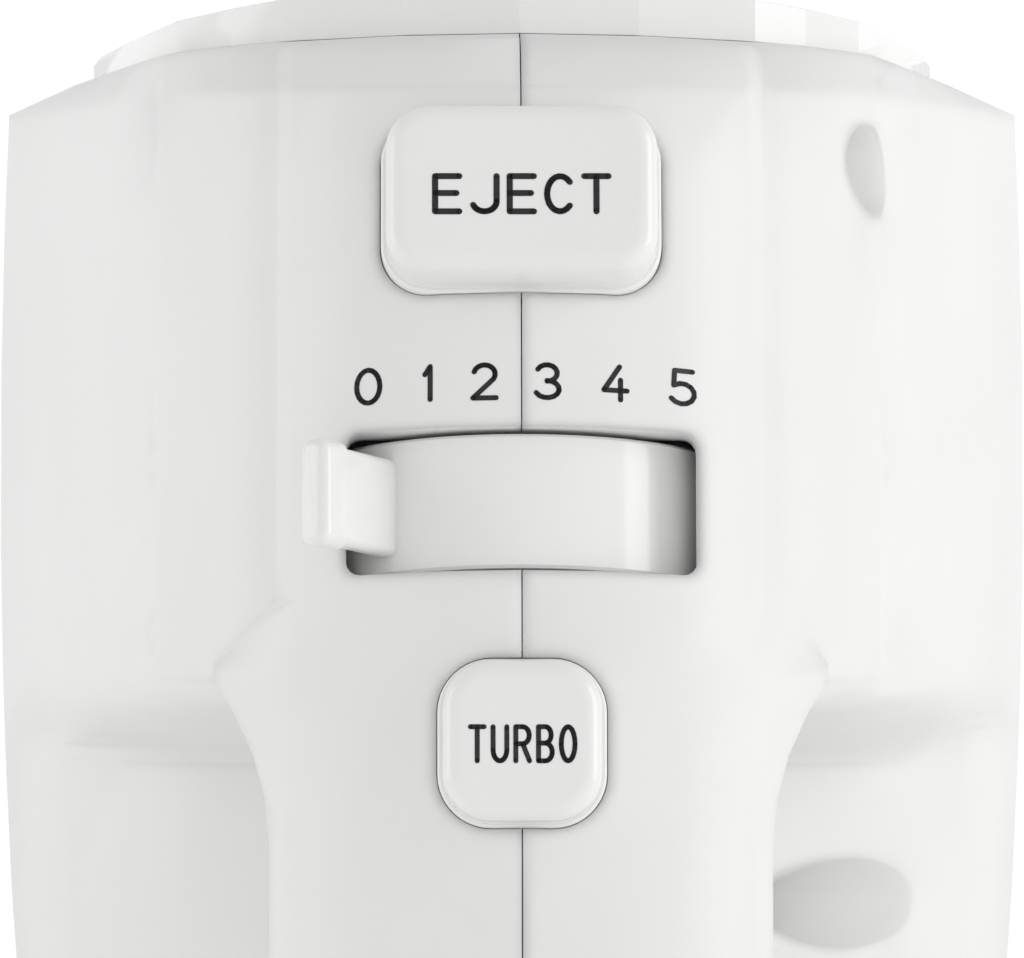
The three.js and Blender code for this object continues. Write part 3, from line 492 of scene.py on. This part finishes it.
def selector(node):
    """The selector: a turned drum with a rounded thumb tab."""
    joint = JOINTS["selector_turn"]
    steps = bpy.context.scene.mixer_controls.drum_steps
    axis = Vector(joint["axis"]).normalized()
    outward = ACROSS.cross(axis).normalized()
    hub = Vector(joint["pos_m"])
    low, high = extent(node, axis)
    half, middle = (high - low) / 2, (high + low) / 2
    hub += axis * (middle - hub.dot(axis))
    data = bmesh.new()
    outline = [
        (DRUM_BORE, -half), (DRUM_HUB, -half), (DRUM_HUB, -DRUM_WEB),
        (DRUM_RIM, -DRUM_WEB), (DRUM_RIM, -half),
        (DRUM_RADIUS - DRUM_EDGE, -half), (DRUM_RADIUS, DRUM_EDGE - half), (DRUM_RADIUS, half - DRUM_EDGE),
        (DRUM_RADIUS - DRUM_EDGE, half), (DRUM_RIM, half), (DRUM_RIM, DRUM_WEB), (DRUM_HUB, DRUM_WEB),
        (DRUM_HUB, half), (DRUM_BORE, half)]
    corners = [data.verts.new(hub + outward * out + axis * up) for out, up in outline]
    edges = [data.edges.new((corners[at - 1], corner)) for at, corner in enumerate(corners)]
    bmesh.ops.spin(
        data, geom=corners + edges, cent=hub, axis=axis, angle=math.tau, steps=steps, use_merge=True)
    bmesh.ops.recalc_face_normals(data, faces=data.faces)
    radial = Matrix.Rotation(-TAB_REST, 3, axis) @ outward
    sideways = axis.cross(radial).normalized()
    tip = DRUM_RADIUS + TAB_HIGH
    stem = rounded_block(
        placed((sideways, axis, radial), hub + radial * (tip - 1 * MM)),
        (TAB_NECK, TAB_LONG - 0.8 * MM, TAB_HIGH + 0.6 * MM), 0.7 * MM, 0.4 * MM, 5)
    grip = rounded_block(
        placed((sideways, axis, radial), hub + radial * tip),
        (TAB_THICK, TAB_LONG, TAB_GRIP), 1.1 * MM, 0.8 * MM, 6)
    add_mesh(data, stem)
    add_mesh(data, grip)
    piece = finish_piece(data, node + "_moulding", body_of_node(node), "gloss_abs")
    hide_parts(node)
    return piece


def return_spring(node):
    """A coiled steel spring under a button, copied from the frame's coil onto a mesh of its own."""
    piece = finish_piece(merged_copy(node), node + "_coil", body_of_node(node), "steel", math.radians(60))
    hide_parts(node)
    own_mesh(piece)
    return piece


# ------------------------------------------------------------------ printed marks

def surface_of(pieces):
    """Search tree of the surfaces that ink is printed on."""
    data = bmesh.new()
    for piece in pieces:
        data.from_mesh(piece.data)
    tree = BVHTree.FromBMesh(data)
    data.free()
    return tree


def arc(middle, half_width, half_height, start, end, steps=10):
    """Points along part of an ellipse, from one angle to another in degrees."""
    angles = [math.radians(start + (end - start) * step / steps) for step in range(steps + 1)]
    return [
        (middle[0] + half_width * math.cos(angle), middle[1] + half_height * math.sin(angle))
        for angle in angles]


# Plain single-stroke characters. Each is a list of lines in a box one wide and one high.
STROKES = {
    "0": [arc((0.5, 0.5), 0.5, 0.5, 90, 450, 20)],
    "1": [[(0.1, 0.76), (0.9, 1), (0.9, 0)]],
    "2": [arc((0.5, 0.72), 0.46, 0.28, 165, -32) + [(0, 0), (1, 0)]],
    "3": [arc((0.48, 0.75), 0.44, 0.25, 155, -90), arc((0.48, 0.26), 0.52, 0.26, 90, -155)],
    "4": [[(0.68, 1), (0, 0.28), (1, 0.28)], [(0.72, 0.6), (0.72, 0)]],
    "5": [[(0.92, 1), (0.14, 1), (0.1, 0.55)] + arc((0.46, 0.31), 0.54, 0.31, 128, -150)],
    "B": [
        [(0, 0), (0, 1), (0.5, 1)] + arc((0.5, 0.76), 0.42, 0.24, 90, -90) + [(0, 0.52)],
        arc((0.5, 0.26), 0.5, 0.26, 90, -90) + [(0, 0)],
    ],
    "C": [arc((0.54, 0.5), 0.54, 0.5, 42, 318, 16)],
    "E": [[(1, 1), (0, 1), (0, 0), (1, 0)], [(0, 0.52), (0.88, 0.52)]],
    "J": [[(1, 1), (1, 0.28)] + arc((0.5, 0.28), 0.5, 0.28, 0, -160)],
    "O": [arc((0.5, 0.5), 0.5, 0.5, 90, 450, 20)],
    "R": [
        [(0, 0), (0, 1), (0.5, 1)] + arc((0.5, 0.75), 0.48, 0.25, 90, -90) + [(0, 0.5)],
        [(0.5, 0.5), (1, 0)],
    ],
    "T": [[(0, 1), (1, 1)], [(0.5, 1), (0.5, 0)]],
    "U": [[(0, 1), (0, 0.32)] + arc((0.5, 0.32), 0.5, 0.32, 180, 360) + [(1, 1)]],
}


def stroke_character(data, character, left, size, pen):
    """Flat ribbons for one character: a bar for each step of a line, and a dot at each of its points."""
    width, height = size
    for line in STROKES[character]:
        points = [
            Vector((left + pen / 2 + x * (width - pen), pen / 2 + y * (height - pen) - height / 2, 0))
            for x, y in line]
        for point in points:
            bmesh.ops.create_circle(
                data, cap_ends=True, radius=pen / 2, segments=12, matrix=Matrix.Translation(point))
        for start, end in zip(points, points[1:]):
            run = end - start
            turn = Matrix.Rotation(math.atan2(run.y, run.x), 4, "Z")
            shape = Matrix.Translation((start + end) / 2) @ turn @ Matrix.Diagonal((run.length, pen, 1, 1))
            bmesh.ops.create_grid(data, x_segments=2, y_segments=1, size=0.5, matrix=shape)


def printed(text, name, surface, axes, centre, size, space, pen, body):
    """Characters printed on a surface, with the middle of the text at the centre."""
    across, along, outward = axes
    ink = bpy.context.scene.mixer_controls.ink_height
    width = len(text) * size[0] + (len(text) - 1) * space
    data = bmesh.new()
    for place, character in enumerate(text):
        stroke_character(data, character, place * (size[0] + space) - width / 2, size, pen)
    for vert in data.verts:
        above = centre + across * vert.co.x + along * vert.co.y + outward * 8 * MM
        hit = surface.ray_cast(above, -outward)[0]
        if hit is None:
            raise ValueError(f"the mark {name} misses its surface")
        vert.co = hit + outward * ink
    turned_in = [face for face in data.faces if face.normal.dot(outward) < 0]
    bmesh.ops.reverse_faces(data, faces=turned_in)
    mesh = bpy.data.meshes.new(name)
    data.to_mesh(mesh)
    data.free()
    mark = bpy.data.objects.new(name, mesh)
    bpy.context.scene.collection.objects.link(mark)
    mesh.materials.append(FINISH["ink"])
    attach(mark, body)
    return mark


def spine_axes(surface, height):
    """Place and local axes on the middle of the spine at a height."""
    hit, normal = surface.ray_cast(Vector((2 * MM, -0.3, height)), Vector((0, 1, 0)))[:2]
    outward = Vector((0, normal.y, normal.z)).normalized()
    return (ACROSS, outward.cross(ACROSS).normalized(), outward), Vector((0, hit.y, hit.z))


# ------------------------------------------------------------------ operators

OUTER = {
    "satin_abs": ("left_shell", "right_shell"),
    "gloss_abs": ("nose_cap", "selector_drum", "eject_button", "turbo_button"),
    "soft_rubber": ("heel_cap", "cord_gland"),
    "chrome": tuple(
        f"beater_{part}_{side}"
        for part in ("shaft", "loop_outer", "loop_inner") for side in ("left", "right")),
}
INNER = {
    "steel": (
        "screw_", "eject_spring", "turbo_spring", "selector_axle", "motor_shaft",
        "spindle_left", "spindle_right"),
    "black_plastic": ("eject_fork", "speed_switch", "turbo_switch"),
    "circuit_laminate": ("circuit_board",),
    "aluminium": ("heat_sink", "rear_bracket", "front_bracket", "gear_frame"),
    "lamination_steel": ("armature_core", "stator_core"),
    "copper": ("commutator", "field_coil_"),
    "natural_nylon": ("cooling_fan", "worm_wheel_", "spindle_bush_"),
    "bronze": ("rear_bearing", "front_bearing"),
    "brass": ("brush_holder_",),
    "carbon": ("brush_left", "brush_right"),
}


class MIXER_OT_finishes(bpy.types.Operator):
    """Make every finish and dress the working parts inside"""
    bl_idname = "mixer.finishes"
    bl_label = "Finishes"

    def execute(self, context):
        FINISH.update(finishes())
        FINISH["ink"] = printed_ink(context.scene.mixer_controls.ink_colour)
        FINISH["paper"] = studio_paper()
        for slot, names in {**OUTER, **INNER}.items():
            for node, piece in frame["nodes"].items():
                if node.startswith(names):
                    piece.data.materials.clear()
                    piece.data.materials.append(FINISH[slot])
        dressed = set(FINISH.values())
        bare = [name for name, piece in frame["nodes"].items() if piece.data.materials[0] not in dressed]
        if bare:
            raise ValueError(f"these parts have no finish: {bare}")
        return {"FINISHED"}


class MIXER_OT_housing(bpy.types.Operator):
    """Build the two shells, the nose cap, the heel cap and the cord gland"""
    bl_idname = "mixer.housing"
    bl_label = "Housing"

    def execute(self, context):
        for node in OUTER["satin_abs"]:
            shell(node)
        cap("nose_cap", "gloss_abs", 0.6 * MM)
        for node in OUTER["soft_rubber"]:
            cap(node, "soft_rubber", 0.5 * MM)
        return {"FINISHED"}


class MIXER_OT_controls(bpy.types.Operator):
    """Build the two push buttons and the speed selector"""
    bl_idname = "mixer.controls"
    bl_label = "Controls"

    def execute(self, context):
        push_button("eject_button", "eject_button_press", 3.6 * MM, EJECT_PROUD)
        push_button("turbo_button", "turbo_button_press", 4.0 * MM, TURBO_PROUD)
        return_spring("eject_spring")
        return_spring("turbo_spring")
        selector("selector_drum")
        return {"FINISHED"}


class MIXER_OT_beaters(bpy.types.Operator):
    """Build the chromed shafts and strips of both beaters"""
    bl_idname = "mixer.beaters"
    bl_label = "Beaters"

    def execute(self, context):
        for node in OUTER["chrome"]:
            piece = finish_piece(merged_copy(node), node + "_plated", body_of_node(node), "chrome")
            round_edges(piece, 0.25 * MM)
            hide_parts(node)
        return {"FINISHED"}


class MIXER_OT_marks(bpy.types.Operator):
    """Print the speed numbers and the two button words"""
    bl_idname = "mixer.marks"
    bl_label = "Marks"

    def execute(self, context):
        objects = context.scene.objects
        housing = surface_of([objects["left_shell_moulding"], objects["right_shell_moulding"]])
        axes, centre = spine_axes(housing, 163.9 * MM)
        for digit, place in enumerate((-12.4, -7.6, -3.0, 2.1, 7.6, 13.1)):
            width = 0.95 * MM if digit == 1 else 2.3 * MM
            spot = centre + ACROSS * place * MM
            size = (width, 3.15 * MM)
            printed(str(digit), f"mark_{digit}", housing, axes, spot, size, 0, 0.42 * MM, "housing")
        words = (("EJECT", 179.0, (2.45, 3.45), 0.56, 0.5), ("TURBO", 134.8, (1.5, 3.15), 0.32, 0.4))
        for word, height, size, space, pen in words:
            button = word.lower() + "_button"
            surface = surface_of([objects[button + "_moulding"]])
            axes, centre = spine_axes(surface, height * MM)
            printed(
                word, "mark_" + word.lower(), surface, axes, centre, (size[0] * MM, size[1] * MM),
                space * MM, pen * MM, body_of_node(button))
        return {"FINISHED"}


def softbox(name, place, aim, size, power):
    """Large soft area light."""
    light = bpy.data.lights.new(name, "AREA")
    light.shape = "RECTANGLE"
    light.size, light.size_y = size
    light.energy = power
    lamp = bpy.data.objects.new(name, light)
    bpy.context.scene.collection.objects.link(lamp)
    lamp.location = place
    lamp.rotation_mode = "QUATERNION"
    lamp.rotation_quaternion = (Vector(aim) - Vector(place)).to_track_quat("-Z", "Y")
    return lamp


def white_studio(settings):
    """White surround: brightest behind the mixer, softer in front of it and above it."""
    world = bpy.data.worlds.new("white_studio")
    world.use_nodes = True
    tree = world.node_tree
    direction = add_node(tree, "ShaderNodeTexCoord").outputs["Generated"]
    parts = add_node(tree, "ShaderNodeSeparateXYZ", links={"Vector": direction}).outputs
    behind = add_node(
        tree, "ShaderNodeMapRange",
        {"From Min": -0.2, "From Max": 0.9,
         "To Min": settings.front_strength, "To Max": settings.back_strength},
        {"Value": parts["Y"]}).outputs["Result"]
    above = add_node(
        tree, "ShaderNodeMapRange", {"From Min": 0.1, "From Max": 0.8, "To Min": 1.0, "To Max": 0.65},
        {"Value": parts["Z"]}).outputs["Result"]
    strength = add_node(tree, "ShaderNodeMath", {"operation": "MULTIPLY", 0: 1.0}).outputs["Value"]
    tree.links.new(behind, strength.node.inputs[0])
    tree.links.new(above, strength.node.inputs[1])
    background = tree.nodes["Background"]
    background.inputs["Color"].default_value = (1, 1, 1, 1)
    tree.links.new(strength, background.inputs["Strength"])
    return world


class MIXER_OT_stage(bpy.types.Operator):
    """Set the white floor, the soft studio light and the camera"""
    bl_idname = "mixer.stage"
    bl_label = "Stage"

    def execute(self, context):
        scene = context.scene
        settings = scene.mixer_stage
        data = bmesh.new()
        bmesh.ops.create_grid(data, x_segments=8, y_segments=8, size=2.4)
        mesh = bpy.data.meshes.new("studio_floor")
        data.to_mesh(mesh)
        data.free()
        floor = bpy.data.objects.new("studio_floor", mesh)
        scene.collection.objects.link(floor)
        mesh.materials.append(FINISH["paper"])
        middle = Vector((0, 0.03, 0.156))
        key = softbox("key_softbox", (1.6, -0.5, 0.5), middle, (0.9, 1.6), settings.key_power)
        fill = softbox("fill_softbox", (-1.7, -0.2, 0.4), middle, (0.8, 1.6), settings.fill_power)
        scene.world = white_studio(settings)
        scene.view_settings.view_transform = "Standard"
        camera_data = bpy.data.cameras.new("camera")
        camera_data.lens = settings.camera_lens
        camera_data.sensor_width = 36
        camera_data.clip_start = 0.05
        camera_data.clip_end = 60
        camera = bpy.data.objects.new("camera", camera_data)
        scene.collection.objects.link(camera)
        turn = settings.camera_azimuth
        camera.location = middle + Vector((math.sin(turn), -math.cos(turn), 0)) * settings.camera_distance
        camera.rotation_mode = "QUATERNION"
        camera.rotation_quaternion = (middle - camera.location).to_track_quat("-Z", "Y")
        scene.camera = camera
        return {"FINISHED"}


class MIXER_PT_panel(bpy.types.Panel):
    """Settings and build steps of the mixer"""
    bl_idname = "MIXER_PT_panel"
    bl_label = "Hand mixer"
    bl_space_type = "VIEW_3D"
    bl_region_type = "UI"
    bl_category = "Mixer"

    def draw(self, context):
        for group in (context.scene.mixer_housing, context.scene.mixer_controls, context.scene.mixer_stage):
            for name in group.bl_rna.properties.keys():
                if name not in ("rna_type", "name"):
                    self.layout.prop(group, name)
        for step in STEPS:
            self.layout.operator(step.bl_idname)


STEPS = (
    MIXER_OT_finishes, MIXER_OT_housing, MIXER_OT_controls, MIXER_OT_beaters, MIXER_OT_marks, MIXER_OT_stage)
GROUPS = {
    "mixer_housing": MixerHousingSettings,
    "mixer_controls": MixerControlSettings,
    "mixer_stage": MixerStageSettings,
}


def register():
    for kind in (*GROUPS.values(), *STEPS, MIXER_PT_panel):
        bpy.utils.register_class(kind)
    for name, group in GROUPS.items():
        setattr(bpy.types.Scene, name, PointerProperty(type=group))


def unregister():
    for name in GROUPS:
        delattr(bpy.types.Scene, name)
    for kind in reversed((*GROUPS.values(), *STEPS, MIXER_PT_panel)):
        bpy.utils.unregister_class(kind)


def main():
    register()
    bpy.ops.mixer.finishes()
    bpy.ops.mixer.housing()
    bpy.ops.mixer.controls()
    bpy.ops.mixer.beaters()
    bpy.ops.mixer.marks()
    bpy.ops.mixer.stage()


if __name__ == "__main__":
    main()
